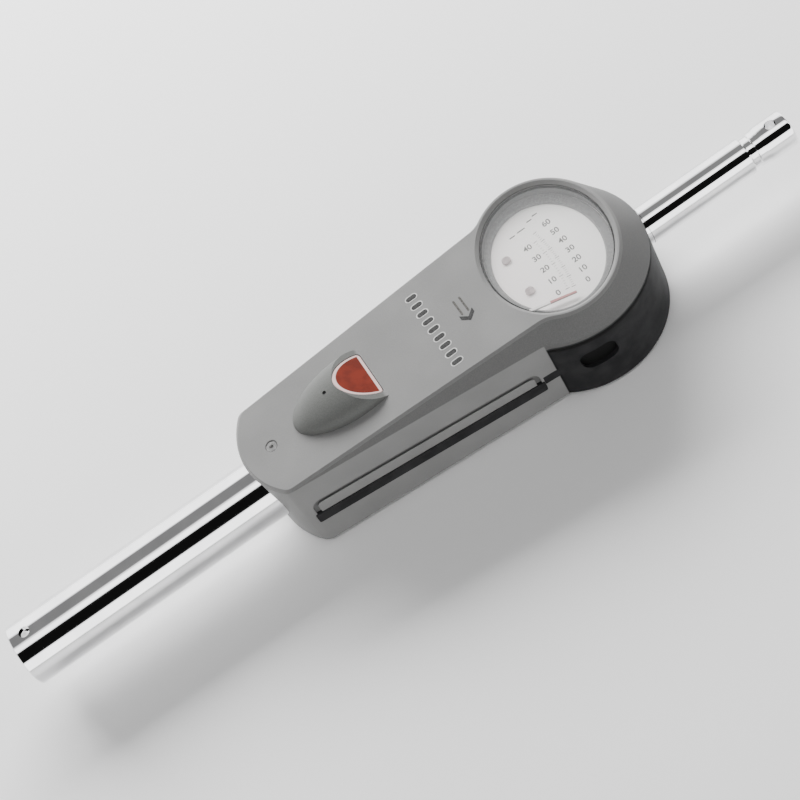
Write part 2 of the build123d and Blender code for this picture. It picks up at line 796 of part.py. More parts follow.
with BuildPart() as marker_hand:
    add(pointer_arm(62.5, 20.3, marker_level, 108.0, 1.4).moved(at_rest))
    with BuildSketch(level(19.2)):
        with Locations((pointer_x, 0)):
            Circle(4.0)
    extrude(amount=1.6)
    with BuildSketch(level(19)):
        with Locations((pointer_x, 0)):
            Circle(staff_radius + 0.04)
    extrude(amount=4, mode=Mode.SUBTRACT)
save(marker_hand.part, "marker_hand")

# ---- bridge that holds the top of the staff -------------------------------------------
with BuildPart() as pointer_bridge:
    with BuildSketch(level(21.0)) as bridge_plan:
        with BuildLine():
            Polyline((-34, -16), (-26, -16), (-11, -4), (-11, 4), (-26, 16), (-34, 16), (-34, -16))
        make_face()
        fillet(bridge_plan.vertices(), 2)
        with Locations((pointer_x, 0)):
            Circle(staff_radius + 0.05, mode=Mode.SUBTRACT)
        with Locations(*bridge_places):
            Circle(1.5, mode=Mode.SUBTRACT)
    extrude(amount=1.0)
save(pointer_bridge.part, "pointer_bridge")


def standoffs(places, radius, low, high):
    """Round posts with a threaded spigot below that fits the upper cheek."""
    with BuildPart() as posts:
        with BuildSketch(level(low)):
            with Locations(*places):
                Circle(radius)
        extrude(amount=high - low)
        with BuildSketch(level(high)):
            with Locations(*places):
                Circle(1.2)
        extrude(amount=-5, mode=Mode.SUBTRACT)
        with BuildSketch(level(low)):
            with Locations(*places):
                Circle(1.5)
        extrude(amount=-4)
    return posts.part


def pan_screws(places, seat, grip, hole_radius, head_radius_, head_height):
    """Pan-head screws with a slot, seated at a height, their shanks below."""
    with BuildPart() as screws:
        with BuildSketch(level(seat)):
            with Locations(*places):
                Circle(head_radius_)
        extrude(amount=head_height)
        with BuildSketch(level(seat + head_height)):
            with Locations(*places):
                Rectangle(0.6, 4 * head_radius_)
        extrude(amount=-0.45 * head_height, mode=Mode.SUBTRACT)
        with BuildSketch(level(seat)):
            with Locations(*places):
                Circle(hole_radius)
        extrude(amount=-grip)
    return screws.part


save(standoffs(bridge_places, 3.0, cheek_top, 21.0), "bridge_posts")
save(pan_screws(bridge_places, 22.0, 4.3, 1.2, 2.3, 0.8), "bridge_screws")

# ---- dial ---------------------------------------------------------------------------------
dial_thickness = 1.2
with BuildPart() as dial_plate:
    with BuildSketch(level(collar_foot - dial_thickness)):
        with Locations((head_x, 0)):
            Ellipse(rim_rx - 2.0, rim_ry - 2.5)
        with Locations(*pillar_places):
            Circle(1.5, mode=Mode.SUBTRACT)
    extrude(amount=dial_thickness)
save(dial_plate.part, "dial_plate")
save(standoffs(pillar_places, 3.0, cheek_top, collar_foot - dial_thickness), "dial_pillars")
save(pan_screws(pillar_places, collar_foot, 5.5, 1.2, 2.2, 0.8), "dial_screws")

with BuildPart() as dial_ring:
    with BuildSketch(level(collar_foot)):
        with Locations((head_x, 0)):
            Ellipse(window_rx - 1.3, window_ry - 1.2)
        with Locations((head_x - 1.2, -0.5)):
            Ellipse(window_rx - 5.0, window_ry - 5.8, mode=Mode.SUBTRACT)
    extrude(amount=1.2)
    chamfer(dial_ring.faces().sort_by(Axis.Z)[-1].edges().sort_by(SortBy.LENGTH)[0], 0.8)
save(dial_ring.part, "dial_ring")

lens_thickness = 1.3
with BuildPart() as lens_gasket:
    with BuildSketch(rim_plane.offset(-lens_ledge)):
        Ellipse(window_rx - 0.1, window_ry - 0.1)
        Ellipse(window_rx - 1.0, window_ry - 1.0, mode=Mode.SUBTRACT)
    extrude(amount=0.5)
save(lens_gasket.part, "lens_gasket")

with BuildPart() as window_lens:
    with BuildSketch(rim_plane.offset(-lens_ledge + 0.5)):
        Ellipse(window_rx - 0.1, window_ry - 0.1)
    extrude(amount=lens_thickness)
    chamfer(window_lens.faces().sort_by(Axis.Z)[-1].edges(), 0.4)
save(window_lens.part, "window_lens")

# ---- reset button ----------------------------------------------------------------------------
button_face = button_outline(button_sink, 0)
with BuildPart() as reset_button:
    extrude(button_face.face(), amount=button_thickness, dir=push_direction)
    fillet(reset_button.faces().sort_by(Axis((0, 0, 0), face_normal))[-1].edges(), 0.5)
save(reset_button.part, "reset_button")

stem_at = (9.5, 0)
with BuildPart() as button_stem:
    with BuildSketch(hump_face.offset(-button_sink - button_thickness)):
        with Locations(stem_at):
            Circle(2.0)
    extrude(amount=-4.6)
save(button_stem.part, "button_stem")

spring_wire = 0.25
spring_coil_radius = 2.9
spring_seat = hump_face.offset(-button_sink - button_thickness - spring_gap)
spring_path = Helix(
    pitch=(spring_gap - 2 * spring_wire - 0.1) / 2, height=spring_gap - 2 * spring_wire - 0.1,
    radius=spring_coil_radius,
)
spring_section = Plane(origin=spring_path @ 0, z_dir=spring_path % 0)
with BuildPart() as button_spring:
    with BuildSketch(spring_section):
        Circle(spring_wire)
    sweep(path=spring_path, is_frenet=True)
spring_place = spring_seat.offset(spring_wire + 0.05)
spring_origin = spring_place.from_local_coords((stem_at[0], stem_at[1], 0))
spring_location = Location(Plane(origin=spring_origin, x_dir=spring_place.x_dir, z_dir=spring_place.z_dir))
save(button_spring.part.moved(spring_location), "button_spring")

with BuildPart() as button_pin:
    with BuildSketch(level(plate_height(-31.4) + 4.05)):
        with Locations((-31.4, 0)):
            Circle(0.93)
    extrude(amount=4.0)
save(button_pin.part, "button_pin")

# ---- screws that close the housing ------------------------------------------------------------
with BuildPart() as shell_screws:
    for x, y in screw_places:
        with BuildSketch(Plane.XY.offset(0.3)):
            with Locations((x, y)):
                Circle(2.7)
        with BuildSketch(Plane.XY.offset(1.5)):
            with Locations((x, y)):
                Circle(screw_radius)
        loft()
    with BuildSketch(Plane.XY.offset(1.5)):
        with Locations(*screw_places):
            Circle(screw_radius)
    extrude(amount=26)
    with BuildSketch(Plane.XY.offset(0.3)):
        with Locations(*screw_places):
            RegularPolygon(1.1, 6)
    extrude(amount=1.3, mode=Mode.SUBTRACT)
save(shell_screws.part, "shell_screws")

tail_screw_top = Plane(
    origin=(-65.7, 0, axis_height + plate_height(-65.7)), x_dir=(1, 0, 0), z_dir=(0, 0, 1)
)
with BuildPart() as tail_screw:
    with BuildSketch(tail_screw_top.offset(-0.35)):
        Circle(2.6)
    with BuildSketch(tail_screw_top.offset(-1.45)):
        Circle(screw_radius)
    loft()
    with BuildSketch(tail_screw_top.offset(-1.45)):
        Circle(screw_radius)
    extrude(amount=-15)
    with BuildSketch(tail_screw_top.offset(-0.35)):
        RegularPolygon(1.2, 6)
    extrude(amount=-1.4, mode=Mode.SUBTRACT)
save(tail_screw.part, "tail_screw")
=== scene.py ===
import math

import bmesh
import bpy
from mathutils import Matrix, Vector
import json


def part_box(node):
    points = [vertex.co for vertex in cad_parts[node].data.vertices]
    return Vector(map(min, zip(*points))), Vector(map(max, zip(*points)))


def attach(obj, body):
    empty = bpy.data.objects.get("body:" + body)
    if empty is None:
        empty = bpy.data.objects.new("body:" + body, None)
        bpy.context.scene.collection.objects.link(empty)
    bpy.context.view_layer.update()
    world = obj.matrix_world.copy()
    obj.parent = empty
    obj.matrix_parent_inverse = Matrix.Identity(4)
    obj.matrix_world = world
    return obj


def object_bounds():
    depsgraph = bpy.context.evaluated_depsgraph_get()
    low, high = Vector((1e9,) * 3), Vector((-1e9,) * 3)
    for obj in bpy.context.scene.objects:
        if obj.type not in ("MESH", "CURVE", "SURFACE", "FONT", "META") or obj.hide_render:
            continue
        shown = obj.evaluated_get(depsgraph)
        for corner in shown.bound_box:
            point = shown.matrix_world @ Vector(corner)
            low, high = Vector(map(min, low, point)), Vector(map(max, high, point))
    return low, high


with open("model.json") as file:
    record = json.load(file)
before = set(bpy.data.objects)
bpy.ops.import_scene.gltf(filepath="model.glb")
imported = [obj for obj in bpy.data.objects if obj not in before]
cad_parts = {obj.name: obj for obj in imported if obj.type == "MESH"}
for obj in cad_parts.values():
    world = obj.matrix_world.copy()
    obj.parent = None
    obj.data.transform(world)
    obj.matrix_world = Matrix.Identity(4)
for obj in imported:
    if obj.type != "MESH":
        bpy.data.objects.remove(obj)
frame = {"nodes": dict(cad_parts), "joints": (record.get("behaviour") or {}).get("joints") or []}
cad_low, cad_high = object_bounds()

MM = 0.001
NODES = frame["nodes"]
X, Y, Z = (1, 0, 0), (0, 1, 0), (0, 0, 1)


# ---- places that the looks are built around ----
def middle(node):
    """Centre of a CAD node's box."""
    low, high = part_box(node)
    return (low + high) / 2


AXIS_Z = middle("handle_tube").z
HEAD_X = middle("dial_plate").x
DIAL_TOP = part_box("dial_plate")[1].z
PIVOT = Vector(next(j["pos_m"] for j in frame["joints"] if j["name"] == "pointer_swing"))
PLATE_RISE = 31.2 * MM          # top plate above the tool's axis at the head's centre
PLATE_SLOPE = 0.0416            # and its climb towards the head
CREASE_RISE = 16.1 * MM         # crease between side wall and brow, also at the head
CREASE_SLOPE = -0.0442
BUMPER_REAR = HEAD_X - 27.2 * MM
BUMPER_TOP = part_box("head_bumper")[1].z
WALL_HALF = 32.07 * MM          # half width between the side walls at x = 0
WALL_SLOPE = 10.9 / 160         # and how it grows towards the head
DIMPLE = Vector((HEAD_X - 7.5 * MM, 0, AXIS_Z - 2.6 * MM))


def plate_z(x):
    """Height of the top plate at a place along the tool."""
    return AXIS_Z + PLATE_RISE + PLATE_SLOPE * (x - HEAD_X)


# ---- node helpers ----
class Look:
    """A material under construction: its node tree and a few short-hands."""

    def __init__(self, name, colour=(0.5, 0.5, 0.5), rough=0.5, metal=0.0, **sockets):
        self.mat = bpy.data.materials.new(name)
        self.mat.use_nodes = True
        self.tree = self.mat.node_tree
        self.bsdf = self.tree.nodes["Principled BSDF"]
        self.set("Base Color", (*colour, 1))
        self.set("Roughness", rough)
        self.set("Metallic", metal)
        for socket, value in sockets.items():
            self.set(socket.replace("_", " "), value)
        self.coords = self.node("TexCoord").outputs["Object"]

    def node(self, kind, **settings):
        made = self.tree.nodes.new("ShaderNode" + kind)
        for key, value in settings.items():
            setattr(made, key, value)
        return made

    def set(self, socket, value):
        self.bsdf.inputs[socket].default_value = value

    def put(self, source, target):
        """Link an output into a socket, or set the socket where it is a plain value."""
        if isinstance(source, bpy.types.NodeSocket):
            self.tree.links.new(source, target)
        else:
            target.default_value = source

    def math(self, operation, a, b=0.0):
        made = self.node("Math", operation=operation)
        self.put(a, made.inputs[0])
        self.put(b, made.inputs[1])
        return made.outputs[0]

    def dot(self, direction, origin=(0, 0, 0), vector=None):
        """Distance along a direction from an origin, in metres."""
        shifted = self.node("VectorMath", operation="SUBTRACT")
        self.put(vector or self.coords, shifted.inputs[0])
        shifted.inputs[1].default_value = origin
        made = self.node("VectorMath", operation="DOT_PRODUCT")
        self.put(shifted.outputs[0], made.inputs[0])
        made.inputs[1].default_value = direction
        return made.outputs["Value"]

    def step(self, value, start, end):
        """0 below start, 1 above end, smooth between; start may be above end."""
        made = self.node("MapRange", interpolation_type="SMOOTHSTEP")
        low, high, out = (start, end, (0, 1)) if start < end else (end, start, (1, 0))
        self.put(value, made.inputs["Value"])
        made.inputs["From Min"].default_value = low
        made.inputs["From Max"].default_value = high
        made.inputs["To Min"].default_value = out[0]
        made.inputs["To Max"].default_value = out[1]
        return made.outputs[0]

    def noise(self, size, detail=3.0, stretch=(1, 1, 1)):
        """Noise whose features are about size across, in metres."""
        mapping = self.node("Mapping")
        self.put(self.coords, mapping.inputs["Vector"])
        mapping.inputs["Scale"].default_value = stretch
        made = self.node("TexNoise")
        self.put(mapping.outputs[0], made.inputs["Vector"])
        made.inputs["Scale"].default_value = 1 / size
        made.inputs["Detail"].default_value = detail
        return made.outputs["Fac"]

    def mix(self, amount, a, b):
        """Blend of two colours."""
        made = self.node("Mix", data_type="RGBA")
        self.put(amount, made.inputs["Factor"])
        for value, socket in ((a, made.inputs["A"]), (b, made.inputs["B"])):
            self.put((*value, 1) if isinstance(value, tuple) else value, socket)
        return made.outputs["Result"]

    def mottle(self, noise, dark, light, low=0.35, high=0.65):
        """Colour that wanders between two tones with the noise."""
        return self.mix(self.step(noise, low, high), dark, light)

    def colour(self, source):
        self.put(source, self.bsdf.inputs["Base Color"])

    def power(self, value, scale, exponent):
        """abs(value / scale) to a power."""
        size = self.math("ABSOLUTE", self.math("DIVIDE", value, scale))
        return self.math("POWER", size, exponent)

    def product(self, first, *others):
        """Masks multiplied together."""
        for other in others:
            first = self.math("MULTIPLY", first, other)
        return first

    def rough(self, noise, low, high):
        """Roughness that follows a noise between two values."""
        made = self.node("MapRange")
        self.put(noise, made.inputs["Value"])
        made.inputs["To Min"].default_value = low
        made.inputs["To Max"].default_value = high
        self.put(made.outputs[0], self.bsdf.inputs["Roughness"])

    def bump(self, height, depth):
        """Relief of a depth in metres, from a height between 0 and 1."""
        made = self.node("Bump")
        made.inputs["Distance"].default_value = depth
        self.put(height, made.inputs["Height"])
        self.put(made.outputs[0], self.bsdf.inputs["Normal"])
        return self


def wear_them(look, *names):
    """Gives a look to CAD nodes by name."""
    for name in names:
        materials = NODES[name].data.materials
        materials.clear()
        materials.append(look.mat)


# ---- materials ----
RUBBER_ROUGH = 0.55
DIMPLE_CLIMB = math.radians(6)
DIMPLE_POWER = 3.5              # 2 is an ellipse, more is squarer
TIP_FROM = 95 * MM              # distance from the pivot at which a hand's tip begins
BUTTON_FOOT_X = -7.7 * MM       # where the button's face meets the top plate

# paint tones, scene linear; the brow, hump, groove and seam tones are painted shade
PLATE_DARK, PLATE_LIGHT = (0.190, 0.190, 0.188), (0.216, 0.216, 0.213)
BROW_SHADE_GREY = (0.092, 0.092, 0.091)
HUMP_SHADE_GREY = (0.098, 0.101, 0.096)
GROOVE_SHADE_GREY, GROOVE_SHADE_STRENGTH = (0.04, 0.04, 0.04), 0.55
SPECK_GREY, SPECK_STRENGTH = (0.4, 0.4, 0.39), 0.07
SEAM_SHADE_BLACK = (0.006, 0.006, 0.006)


def groove_shade_mask(look, along, across, height):
    """1 where shade is painted into the groove round each side panel: a little way in from the
    wall's plane.
    """
    out = look.math("ABSOLUTE", across)
    plane = look.math("ADD", look.math("MULTIPLY", along, WALL_SLOPE), WALL_HALF)
    proud = look.math("SUBTRACT", out, plane)
    return look.product(
        look.step(proud, -0.25 * MM, -0.7 * MM),
        look.step(proud, -2.3 * MM, -1.9 * MM),
        look.step(along, -68 * MM, -67 * MM),
        look.step(along, 56 * MM, 55 * MM),
        look.step(height, AXIS_Z + 10 * MM, AXIS_Z + 9 * MM),
        look.step(height, AXIS_Z - 11 * MM, AXIS_Z - 10 * MM))


def housing_look():
    """Grey textured paint, with painted shade: darker on brow, hump and panel groove, black in
    the seam.
    """
    look = Look("housing_paint", rough=0.55, Specular_IOR_Level=0.3)
    normal = look.node("TexCoord").outputs["Normal"]
    along, across, height = look.dot(X), look.dot(Y), look.dot(Z)
    steep = look.step(look.math("ABSOLUTE", look.dot(Z, vector=normal)), 0.85, 0.55)

    # painted shade: steep faces above the crease, and every steep face from the bumper's rear
    # on, take the darker brow tone
    above_crease = look.dot((-CREASE_SLOPE, 0, 1), (HEAD_X, 0, AXIS_Z + CREASE_RISE))
    outside = look.step(above_crease, -0.1 * MM, 0.5 * MM)
    at_bumper = look.step(along, BUMPER_REAR - 0.6 * MM, BUMPER_REAR)
    brow = look.product(steep, look.math("MAXIMUM", outside, at_bumper))
    # painted shadow: steep faces from the bumper's rear on, up to just above its top, are
    # painted black as a seam
    low_down = look.step(height, BUMPER_TOP + 1.9 * MM, BUMPER_TOP + 1.3 * MM)
    seam = look.product(low_down, look.product(steep, at_bumper))

    # painted shade: faces standing a millimetre or so above the top plate, behind x = 0, take
    # the darker hump tone
    above_plate = look.dot((-PLATE_SLOPE, 0, 1), (HEAD_X, 0, AXIS_Z + PLATE_RISE))
    hump = look.product(look.step(above_plate, 0.2 * MM, 1.4 * MM),
                        look.step(along, 6 * MM, 0))
    # painted shade in the groove round each side panel
    groove = groove_shade_mask(look, along, across, height)

    grain = look.noise(0.55 * MM, 4)
    speck = look.step(grain, 0.3, 0.7)
    shade = look.mottle(look.noise(30 * MM, 2), PLATE_DARK, PLATE_LIGHT, 0.3, 0.7)
    shade = look.mix(brow, shade, BROW_SHADE_GREY)
    shade = look.mix(hump, shade, HUMP_SHADE_GREY)
    shade = look.mix(look.product(groove, GROOVE_SHADE_STRENGTH), shade, GROOVE_SHADE_GREY)
    shade = look.mix(look.product(speck, SPECK_STRENGTH), shade, SPECK_GREY)
    look.colour(look.mix(seam, shade, SEAM_SHADE_BLACK))
    look.rough(grain, 0.42, 0.66)
    return look.bump(grain, 0.06 * MM)


def rubber_look():
    """Black moulded rubber: dusty bloom, fine stipple, and painted shade that makes the lip and
    the finger dimples near black.
    """
    look = Look("bumper_rubber", rough=RUBBER_ROUGH, Specular_IOR_Level=0.12)
    # painted shade: near black along the top lip, under the head's brow
    lip = look.step(look.dot(Z, (0, 0, AXIS_Z + 12.7 * MM)), -2.6 * MM, -1.2 * MM)
    bloom = look.mottle(look.noise(9 * MM, 5), (0.012, 0.012, 0.013),
                        (0.024, 0.024, 0.025), 0.3, 0.75)
    # painted shade fills each dimple, a rounded oblong that climbs a little towards the spigot
    rise, run = math.sin(DIMPLE_CLIMB), math.cos(DIMPLE_CLIMB)
    long_way = look.power(look.dot((run, 0, rise), DIMPLE), 9.2 * MM, DIMPLE_POWER)
    short_way = look.power(look.dot((-rise, 0, run), DIMPLE), 6.2 * MM, DIMPLE_POWER)
    dimple = look.step(look.math("ADD", long_way, short_way), 1.05, 0.85)
    look.colour(look.mix(look.math("MAXIMUM", lip, dimple), bloom, (0.002, 0.002, 0.002)))
    stipple = look.noise(0.4 * MM, 3)
    look.rough(stipple, RUBBER_ROUGH - 0.08, RUBBER_ROUGH + 0.1)
    return look.bump(stipple, 0.05 * MM)


def chrome_look():
    """Polished chrome plate with faint polishing lines round the tube."""
    look = Look("chrome_plate", metal=1.0)
    lines = look.noise(0.5 * MM, 4, stretch=(1, 0.05, 0.05))
    smears = look.noise(14 * MM, 3)
    look.colour(look.mottle(smears, (0.80, 0.80, 0.81), (0.90, 0.90, 0.905), 0.3, 0.7))
    look.rough(lines, 0.03, 0.08)
    return look.bump(lines, 0.002 * MM)


def metal_look(name, dark, light, low, high):
    """Machined metal: turning or grinding lines and a mottled tone."""
    look = Look(name, metal=1.0)
    brushed = look.noise(0.3 * MM, 3, stretch=(1, 1, 0.08))
    look.colour(look.mottle(look.noise(2.5 * MM, 4), dark, light))
    look.rough(brushed, low, high)
    return look.bump(brushed, 0.01 * MM)


def dial_look():
    """Warm white enamel, a little pink towards the rear, with fine specks."""
    look = Look("dial_paint", rough=0.42)
    base = look.mottle(look.noise(24 * MM, 3), (0.86, 0.84, 0.82), (0.91, 0.895, 0.875))
    rear = look.step(look.dot(X, (HEAD_X, 0, 0)), 10 * MM, -30 * MM)
    look.colour(look.mix(look.product(rear, 0.6), base, (0.90, 0.83, 0.82)))
    return look.bump(look.noise(0.6 * MM, 3), 0.01 * MM)


def print_look(name, dark, light, rough=0.5):
    """Printed or painted mark with a slightly uneven coat."""
    look = Look(name, rough=rough)
    look.colour(look.mottle(look.noise(0.8 * MM, 4), dark, light))
    return look.bump(look.noise(0.3 * MM, 3), 0.01 * MM)


def pointer_look(name, arm, tip):
    """Painted hand whose outer end has a second colour."""
    look = Look(name, rough=0.4)
    flat = look.node("VectorMath", operation="MULTIPLY")
    look.put(look.coords, flat.inputs[0])
    flat.inputs[1].default_value = (1, 1, 0)
    reach = look.node("VectorMath", operation="DISTANCE")
    look.put(flat.outputs[0], reach.inputs[0])
    reach.inputs[1].default_value = (PIVOT.x, PIVOT.y, 0)
    outer = look.step(reach.outputs["Value"], TIP_FROM, TIP_FROM + 0.3 * MM)
    coat = look.mottle(look.noise(3 * MM, 3), tuple(c * 0.93 for c in arm), arm)
    look.colour(look.mix(outer, coat, tip))
    return look.bump(look.noise(0.5 * MM, 3), 0.01 * MM)


def lens_look():
    """Clear window with the faintest haze and a soft sheen."""
    look = Look("lens", (0.97, 0.98, 0.98), rough=0.06, Alpha=0.07, IOR=1.49)
    haze = look.noise(20 * MM, 3)
    look.colour(look.mottle(haze, (0.93, 0.94, 0.94), (0.99, 0.99, 0.99)))
    return look.bump(look.noise(16 * MM, 2), 0.02 * MM)


def button_look():
    """Glossy red push button with a pale border round its edge."""
    look = Look("button_red", rough=0.4, Coat_Weight=0.06, Coat_Roughness=0.15,
                Specular_IOR_Level=0.12)
    run, rise = 18.5, 9.6                                # the slope of the button's face
    length = math.hypot(run, rise)
    foot = Vector((BUTTON_FOOT_X, 0, plate_z(BUTTON_FOOT_X)))
    along = look.dot((-run / length, 0, rise / length), foot)
    over = look.dot(Y, foot)
    # the round edge is half an ellipse, and the border lies just inside it
    ellipse = look.math(
        "ADD", look.power(look.math("SUBTRACT", along, 0.8 * MM), 19.2 * MM, 2.0),
        look.power(over, 13.2 * MM, 2.0))
    arc = look.step(look.math("SQRT", ellipse), 0.895, 0.92)
    flat = look.step(along, 2.7 * MM, 2.35 * MM)
    red = look.mottle(look.noise(6 * MM, 3), (0.105, 0.0095, 0.003),
                      (0.150, 0.0150, 0.005))
    look.colour(look.mix(look.math("MAXIMUM", arc, flat), red, (0.66, 0.50, 0.48)))
    return look.bump(look.noise(0.5 * MM, 3), 0.01 * MM)


housing = housing_look()
rubber = rubber_look()
chrome = chrome_look()
steel = metal_look("ground_steel", (0.42, 0.42, 0.42), (0.62, 0.62, 0.61), 0.25, 0.45)
dark_steel = metal_look("dark_steel", (0.10, 0.10, 0.11), (0.24, 0.24, 0.25), 0.3, 0.55)
pink_steel = metal_look("dial_screw_steel", (0.50, 0.43, 0.43), (0.66, 0.58, 0.58),
                        0.4, 0.6)
bronze = metal_look("bronze", (0.36, 0.21, 0.08), (0.55, 0.36, 0.16), 0.25, 0.5)
dial = dial_look()
ink = print_look("dial_ink", (0.050, 0.048, 0.044), (0.105, 0.10, 0.093))
ring = print_look("ring_grey", (0.115, 0.115, 0.114), (0.165, 0.165, 0.163), 0.35)
pale = print_look("pale_print", (0.50, 0.50, 0.49), (0.62, 0.62, 0.61))
black = print_look("black_print", (0.018, 0.018, 0.018), (0.045, 0.045, 0.045))
lens = lens_look()
red = button_look()

wear_them(housing, "upper_shell", "lower_shell")
wear_them(rubber, "head_bumper", "side_strip_right", "side_strip_left", "lens_gasket",
          "bar_seal")
wear_them(chrome, "handle_tube", "drive_bar")
wear_them(steel, "yoke", "yoke_pins", "main_pivot_pin", "stop_pins", "link_plate",
          "link_pin", "pointer_staff", "pointer_bridge", "bridge_posts", "dial_pillars",
          "button_stem", "button_spring", "tail_screw")
wear_them(dark_steel, "blade_screws", "measuring_blade", "retaining_rings", "link_screws",
          "bridge_screws", "button_pin", "shell_screws")
wear_them(pink_steel, "dial_screws")
wear_them(bronze, "thrust_washers", "pivot_bush")
wear_them(dial, "dial_plate")
wear_them(ring, "dial_ring")
wear_them(lens, "window_lens")
wear_them(red, "reset_button")
wear_them(pointer_look("pointer_paint", (0.82, 0.82, 0.80), (0.20, 0.09, 0.085)),
          "pointer")
wear_them(pointer_look("marker_paint", (0.80, 0.78, 0.76), (0.42, 0.16, 0.15)),
          "marker_hand")


# ---- small pieces that the CAD leaves to the looks ----
CORNER_STEPS = 6
SAME_PLACE = 1e-7               # points closer than this are one point
PRINT_SUNK = 0.02 * MM          # how far a print starts inside the surface under it


def new_piece(name, mesh_data, look, body):
    """A finished mesh as a piece of the object."""
    piece = bpy.data.objects.new(name, mesh_data)
    bpy.context.scene.collection.objects.link(piece)
    piece.data.materials.append(look.mat)
    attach(piece, body)


def prism(bm, outline, foot, thickness):
    """Closed prism over an outline of (x, y) points, standing on a surface foot(x)."""
    low = [bm.verts.new((x, y, foot(x))) for x, y in outline]
    high = [bm.verts.new((x, y, foot(x) + thickness)) for x, y in outline]
    count = len(outline)
    bm.faces.new(high)
    bm.faces.new(low[::-1])
    for i in range(count):
        j = (i + 1) % count
        bm.faces.new((low[i], low[j], high[j], high[i]))


def piece_of_prisms(name, outlines, foot, thickness, look):
    """One piece made of several flat prisms, with their edges softened."""
    bm = bmesh.new()
    for outline in outlines:
        prism(bm, outline, foot, thickness)
    bmesh.ops.recalc_face_normals(bm, faces=bm.faces)
    top_edges = [edge for edge in bm.edges
                 if all(v.co.z > foot(v.co.x) + thickness / 2 for v in edge.verts)]
    bmesh.ops.bevel(bm, geom=top_edges, offset=thickness * 0.4, segments=2,
                    affect="EDGES")
    mesh_data = bpy.data.meshes.new(name)
    bm.to_mesh(mesh_data)
    bm.free()
    new_piece(name, mesh_data, look, "housing")


def capsule(x, y, half_x, half_y):
    """Outline of a bar with rounded ends, longer along X or Y."""
    radius = min(half_x, half_y)
    points = []
    for corner, (sx, sy) in enumerate(((1, 1), (-1, 1), (-1, -1), (1, -1))):
        for k in range(CORNER_STEPS + 1):
            angle = math.radians(90 * (corner + k / CORNER_STEPS))
            points.append((x + sx * (half_x - radius) + radius * math.cos(angle),
                           y + sy * (half_y - radius) + radius * math.sin(angle)))
    return [p for i, p in enumerate(points)
            if (Vector(p) - Vector(points[i - 1])).length > SAME_PLACE]


def on_plate(x):
    """Just inside the top plate's surface, so that a print has no gap under it."""
    return plate_z(x) - PRINT_SUNK


# A plain row of pads stands where the plate carries its marking, and an arrow points
# the way that the handle is pulled.
PADS_X, PADS_Y = 26.4 * MM, -0.9 * MM
PAD_COUNT, PAD_PITCH = 9, 5.6 * MM
pad_rows = [(k - PAD_COUNT // 2) * PAD_PITCH + PADS_Y for k in range(PAD_COUNT)]
pads = [capsule(PADS_X, y, 2.8 * MM, 1.25 * MM) for y in pad_rows]
piece_of_prisms("plate_pads", pads, on_plate, 0.2 * MM, black)
rims = [capsule(PADS_X, y, 3.3 * MM, 1.75 * MM) for y in pad_rows]
piece_of_prisms("plate_pad_rims", rims, on_plate, 0.1 * MM, pale)

ARROW_X, ARROW_TIP = 42.7 * MM, -9.2 * MM
ARROW_THICK = 0.12 * MM
chevron = [(ARROW_X + x * MM, ARROW_TIP + y * MM)
           for x, y in ((0, 0), (3.6, 3.0), (3.6, 5.6), (0, 2.6), (-3.6, 5.6), (-3.6, 3.0))]
piece_of_prisms("arrow_head", [chevron], on_plate, ARROW_THICK, black)
shaft = [capsule(ARROW_X + side * 1.7 * MM, ARROW_TIP + 10.0 * MM, 0.5 * MM, 4.9 * MM)
         for side in (-1, 1)]
piece_of_prisms("arrow_shaft", shaft, on_plate, ARROW_THICK, ink)


# ---- dial print ----
NUMERAL_SIZE = 4.3 * MM
MARKS_PER_NUMERAL = 5
DIAL_PRINT = 0.035 * MM         # thickness of the marks and dashes


def on_dial(_x):
    """Just inside the dial's face."""
    return DIAL_TOP - PRINT_SUNK


def polar(radius, degrees_):
    """Point on the dial at a distance and direction from the pointers' pivot."""
    angle = math.radians(degrees_)
    return PIVOT.x + radius * math.cos(angle), PIVOT.y + radius * math.sin(angle)


def tick(radius, degrees_, half_long, half_wide):
    """Four corners of a scale mark that points at the pivot."""
    centre = Vector(polar(radius, degrees_))
    out = Vector((math.cos(math.radians(degrees_)), math.sin(math.radians(degrees_))))
    side = Vector((-out.y, out.x))
    return [tuple(centre + out * a * half_long + side * b * half_wide)
            for a, b in ((-1, -1), (1, -1), (1, 1), (-1, 1))]


def numbers(name, labels, radius, first, spacing):
    """A column of numerals along an arc round the pivot, all reading along X."""
    parts = []
    for k, label in enumerate(labels):
        curve = bpy.data.curves.new(name + "_text", "FONT")
        curve.body = label
        curve.size = NUMERAL_SIZE
        curve.align_x = "CENTER"
        curve.align_y = "CENTER"
        curve.extrude = 0.03 * MM
        curve.offset = 0.08 * MM       # from 0.1 mm on, the outline of a 6 breaks up
        x, y = polar(radius, first + k * spacing)
        holder = bpy.data.objects.new(name + "_text", curve)
        holder.matrix_world = Matrix.Translation((x, y, DIAL_TOP + 0.012 * MM))
        bpy.context.scene.collection.objects.link(holder)
        bpy.context.view_layer.update()
        flat = bpy.data.meshes.new_from_object(holder.evaluated_get(
            bpy.context.evaluated_depsgraph_get()))
        flat.transform(holder.matrix_world)
        parts.append(flat)
        bpy.data.objects.remove(holder)
    bm = bmesh.new()
    for flat in parts:
        bm.from_mesh(flat)
        bpy.data.meshes.remove(flat)
    bmesh.ops.remove_doubles(bm, verts=bm.verts, dist=SAME_PLACE)
    mesh_data = bpy.data.meshes.new(name)
    bm.to_mesh(mesh_data)
    bm.free()
    new_piece(name, mesh_data, ink, "housing")


def scale(labels, marks_radius, first, spacing, major_long, minor_long):
    """Marks of one scale, with a longer and wider one at each numeral."""
    rows = []
    for k in range((labels - 1) * MARKS_PER_NUMERAL + 1):
        major = k % MARKS_PER_NUMERAL == 0
        rows.append(tick(marks_radius, first + k * spacing / MARKS_PER_NUMERAL,
                         (major_long if major else minor_long) * MM,
                         (0.16 if major else 0.09) * MM))
    return rows


